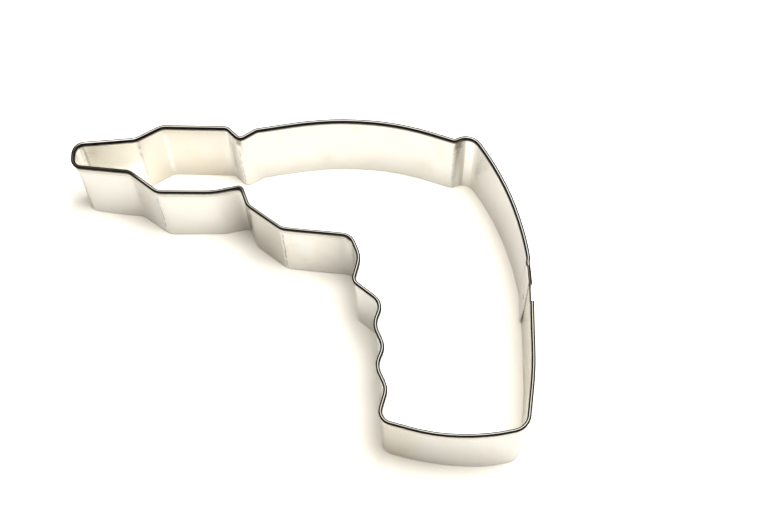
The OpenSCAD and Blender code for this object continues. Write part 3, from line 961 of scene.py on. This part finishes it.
class CUTTER_OT_strip(Operator):
    """Bend the strip round the outline, fold its rim and lap its ends"""

    bl_idname = "cutter.strip"
    bl_label = "Strip"

    def execute(self, context):
        scene = context.scene
        line, thickness = inner_line(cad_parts["band"])
        strip = Strip(line, thickness, scene.cutter_strip, scene.cutter_weld)
        strip.raise_sheet()
        strip.bare_the_outer_end()
        strip.add_relief()
        strip.give_thickness()
        made = piece(strip.finish(), "cutter_strip", BODY, "band")
        made.data.materials.append(tinplate(scene.cutter_finish, strip))
        return {"FINISHED"}


class CUTTER_OT_welds(Operator):
    """Set the two weld buttons in the lap"""

    bl_idname = "cutter.welds"
    bl_label = "Spot welds"

    def execute(self, context):
        scene = context.scene
        strip, weld = scene.cutter_strip, scene.cutter_weld
        line, thickness = inner_line(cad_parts["band"])
        foot, outward = station(line, strip.lap / 2)
        section = button_section(weld, thickness, strip.lap_gap)
        material = weld_metal(scene.cutter_finish)
        for name, height in (("upper", weld.high_height), ("lower", weld.low_height)):
            bm = bmesh.new()
            centre = foot + UP * height
            verts = [bm.verts.new(centre + outward * t + UP * r) for r, t in section]
            edges = [bm.edges.new(pair) for pair in zip(verts, verts[1:])]
            bmesh.ops.spin(
                bm, geom=verts + edges, cent=centre, axis=outward, angle=math.tau,
                steps=weld.steps, use_merge=True,
            )
            bmesh.ops.remove_doubles(bm, verts=bm.verts, dist=MERGE_DISTANCE)
            bmesh.ops.recalc_face_normals(bm, faces=bm.faces)
            made = piece(bm, f"{name}_weld_button", BODY, f"{name}_spot_weld")
            made.data.materials.append(material)
        return {"FINISHED"}


class CUTTER_OT_stage(Operator):
    """Lay the paper, set the lights, hang the tent and aim the camera"""

    bl_idname = "cutter.stage"
    bl_label = "Stage"

    def execute(self, context):
        scene = context.scene
        stage = scene.cutter_stage
        self.lay_paper(stage)
        self.set_lights(scene, stage)
        self.hang_tent(stage)
        self.aim_camera(scene, stage)
        scene.view_settings.view_transform = "Standard"
        return {"FINISHED"}

    def lay_paper(self, stage):
        bm = bmesh.new()
        bmesh.ops.create_grid(bm, x_segments=4, y_segments=4, size=stage.paper_size / 2)
        bmesh.ops.translate(bm, verts=bm.verts, vec=UP * -PAPER_DROP)
        stage_object("paper", bm, paper_material(stage))

    def set_lights(self, scene, stage):
        """A dim warm sky that is white where it is seen, a soft box and a fill card."""
        world = bpy.data.worlds.new("studio")
        scene.world = world
        recipe = Recipe(world)
        skies = [recipe.add("ShaderNodeBackground", None, {"Color": opaque(color), "Strength": strength})
                 for color, strength in ((stage.warm, stage.fill), (WHITE, 1))]
        sky = recipe.either(recipe.seen(), *skies)
        recipe.add("ShaderNodeOutputWorld", None, {"Surface": sky})
        key_size, card_size = (stage.key_width, stage.key_depth), (stage.card_size, stage.card_size)
        self.hang_lamp(scene, "soft_box", stage.key_place, stage.key_power, key_size)
        self.hang_lamp(scene, "fill_card", stage.card_place, stage.card_power, card_size)

    def hang_lamp(self, scene, name, place, energy, sides):
        """Hangs a rectangle of light over the cutter, which the metal doesn't mirror."""
        lamp = bpy.data.lights.new(name, "AREA")
        lamp.energy = energy
        lamp.shape = "RECTANGLE"
        lamp.size, lamp.size_y = sides
        made = bpy.data.objects.new(name, lamp)
        made.matrix_world = aimed(Vector(place), ORIGIN)
        made.visible_camera = made.visible_glossy = False
        scene.collection.objects.link(made)

    def hang_tent(self, stage):
        """A dark tent over the table, which only the polished metal mirrors."""
        bm = bmesh.new()
        bmesh.ops.create_uvsphere(bm, u_segments=64, v_segments=32, radius=stage.tent)
        low = [f for f in bm.faces if f.calc_center_median().z < 0]
        bmesh.ops.delete(bm, geom=low, context="FACES")
        bmesh.ops.reverse_faces(bm, faces=bm.faces)
        tent = stage_object("tent", bm, tent_material(stage))
        tent.visible_camera = tent.visible_diffuse = tent.visible_shadow = False
        tent.visible_transmission = False

    def aim_camera(self, scene, stage):
        camera = bpy.data.cameras.new("camera")
        camera.lens = stage.lens
        camera.clip_start = stage.camera_clip
        made = bpy.data.objects.new("camera", camera)
        turn = Matrix.Rotation(stage.yaw, 4, "Z")
        turn @= Matrix.Rotation(math.pi / 2 - stage.pitch, 4, "X")
        turn @= Matrix.Rotation(stage.roll, 4, "Z")
        made.matrix_world = Matrix.Translation(stage.camera_place) @ turn
        scene.collection.objects.link(made)
        scene.camera = made


class CUTTER_PT_panel(Panel):
    """Lists the pieces and their sizes"""

    bl_label = "Drill Outline Cutter"
    bl_idname = "CUTTER_PT_panel"
    bl_space_type = "VIEW_3D"
    bl_region_type = "UI"
    bl_category = "Cutter"

    def draw(self, context):
        for operator in OPERATORS:
            self.layout.operator(operator.bl_idname)
        for name, group in GROUPS.items():
            box = self.layout.box()
            settings = getattr(context.scene, name)
            for key in group.__annotations__:
                box.prop(settings, key)


GROUPS = {
    "cutter_strip": CutterStripSettings,
    "cutter_weld": CutterWeldSettings,
    "cutter_finish": CutterFinishSettings,
    "cutter_stage": CutterStageSettings,
}
OPERATORS = (CUTTER_OT_strip, CUTTER_OT_welds, CUTTER_OT_stage)


def register():
    for group in GROUPS.values():
        bpy.utils.register_class(group)
    for name, group in GROUPS.items():
        setattr(bpy.types.Scene, name, PointerProperty(type=group))
    for cls in (*OPERATORS, CUTTER_PT_panel):
        bpy.utils.register_class(cls)


def unregister():
    for cls in (CUTTER_PT_panel, *reversed(OPERATORS)):
        bpy.utils.unregister_class(cls)
    for name in GROUPS:
        delattr(bpy.types.Scene, name)
    for group in reversed(GROUPS.values()):
        bpy.utils.unregister_class(group)


def main():
    register()
    bpy.ops.cutter.stage()
    bpy.ops.cutter.strip()
    bpy.ops.cutter.welds()


if __name__ == "__main__":
    main()
